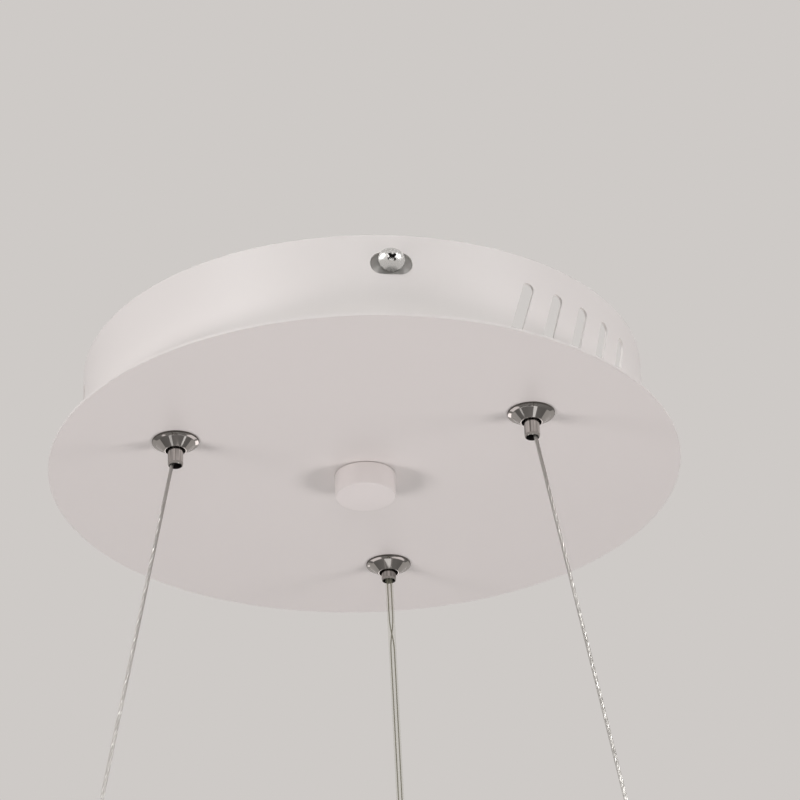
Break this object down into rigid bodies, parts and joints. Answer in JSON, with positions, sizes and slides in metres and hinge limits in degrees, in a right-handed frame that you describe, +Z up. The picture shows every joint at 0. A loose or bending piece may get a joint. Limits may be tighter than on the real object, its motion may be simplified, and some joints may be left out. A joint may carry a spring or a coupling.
{
  "type": "led ring chandelier",
  "caption": "Ceiling canopy of a shallow drum on a wider disc, with two steel wires and a clear cable that carry a level lighted ring.",
  "frame": {"origin": "on the ceiling plane, at the centre of the mounting bracket, which is the point that the light hangs from", "axes": "+Z up into the ceiling, +X to the right and -Y to the front, where the front side screw is"},
  "size_m": [0.4, 0.4, 0.6555],
  "materials": {
    "white_powder_coat": "smooth matte powder coat",
    "white_cap": "smooth matte powder coat",
    "zinc_steel": "bright zinc plate",
    "polished_nickel": "polished nickel plate",
    "satin_nickel": "satin nickel plate",
    "hard_steel": "bright steel",
    "steel_rope": "stranded steel",
    "crimp_aluminium": "pressed aluminium",
    "clear_cable": "clear soft plastic",
    "opal_diffuser": "opal acrylic",
    "led_board_white": "white solder mask",
    "led_phosphor": "yellow phosphor",
    "driver_plastic": "moulded white plastic",
    "circuit_board": "green solder mask",
    "transformer_core": "ferrite with yellow tape",
    "capacitor_sleeve": "shrunk dark sleeve",
    "terminal_plastic": "moulded white plastic",
    "brass": "plain brass",
    "white_pvc": "extruded white plastic",
    "earth_pvc": "green and yellow plastic"
  },
  "bodies": {
    "canopy": {"bracket_weld_nuts": "zinc_steel", "cable_clamp_sleeve": "satin_nickel", "cable_holder": "polished_nickel", "cable_tail": "clear_cable", "canopy_pan": "white_powder_coat", "canopy_plate": "white_powder_coat", "centre_cap": "white_cap", "centre_nipple": "zinc_steel", "centre_nut": "zinc_steel", "driver_base": "driver_plastic", "driver_board": "circuit_board", "driver_capacitors": "capacitor_sleeve", "driver_cover": "driver_plastic", "driver_screws": "zinc_steel", "driver_transformer": "transformer_core", "earth_eyelets": "brass", "earth_lead": "earth_pvc", "earth_screws": "zinc_steel", "holder_nuts": "zinc_steel", "holder_washers": "zinc_steel", "left_chuck_sleeve": "satin_nickel", "left_gripper_body": "polished_nickel", "left_release_spring": "hard_steel", "left_suspension_wire": "steel_rope", "left_wire_stop": "crimp_aluminium", "left_wire_tail": "steel_rope", "mains_lead": "white_pvc", "mounting_bracket": "zinc_steel", "power_cable": "clear_cable", "right_chuck_sleeve": "satin_nickel", "right_gripper_body": "polished_nickel", "right_release_spring": "hard_steel", "right_suspension_wire": "steel_rope", "right_wire_stop": "crimp_aluminium", "right_wire_tail": "steel_rope", "side_screws": "zinc_steel", "terminal_block": "terminal_plastic", "terminal_screws": "brass"},
    "ring": {"joiner_screws": "zinc_steel", "led_board": "led_board_white", "led_chips": "led_phosphor", "left_ring_anchor": "polished_nickel", "left_wire_crimp": "crimp_aluminium", "right_ring_anchor": "polished_nickel", "right_wire_crimp": "crimp_aluminium", "ring_cable_gland": "polished_nickel", "ring_channel": "white_powder_coat", "ring_diffuser": "opal_diffuser", "ring_joiner": "zinc_steel", "ring_lead": "clear_cable", "ring_slide_nuts": "zinc_steel"},
    "left_release": {"left_release_nose": "satin_nickel", "left_chuck_balls": "hard_steel"},
    "right_release": {"right_release_nose": "satin_nickel", "right_chuck_balls": "hard_steel"}
  },
  "joints": [
    {"name": "ring_height", "type": "slide", "parent": "canopy", "child": "ring", "axis": [0, 0, 1], "range_m": [0, 0.3], "deforming": ["left_suspension_wire", "right_suspension_wire", "power_cable"]},
    {"name": "left_release", "type": "slide", "parent": "canopy", "child": "left_release", "axis": [0, 0, 1], "range_m": [0, 0.002], "stiffness_N_per_m": 400, "springref_m": -0.002, "deforming": ["left_release_spring"]},
    {"name": "right_release", "type": "slide", "parent": "canopy", "child": "right_release", "axis": [0, 0, 1], "range_m": [0, 0.002], "stiffness_N_per_m": 400, "springref_m": -0.002, "deforming": ["right_release_spring"]}
  ]
}
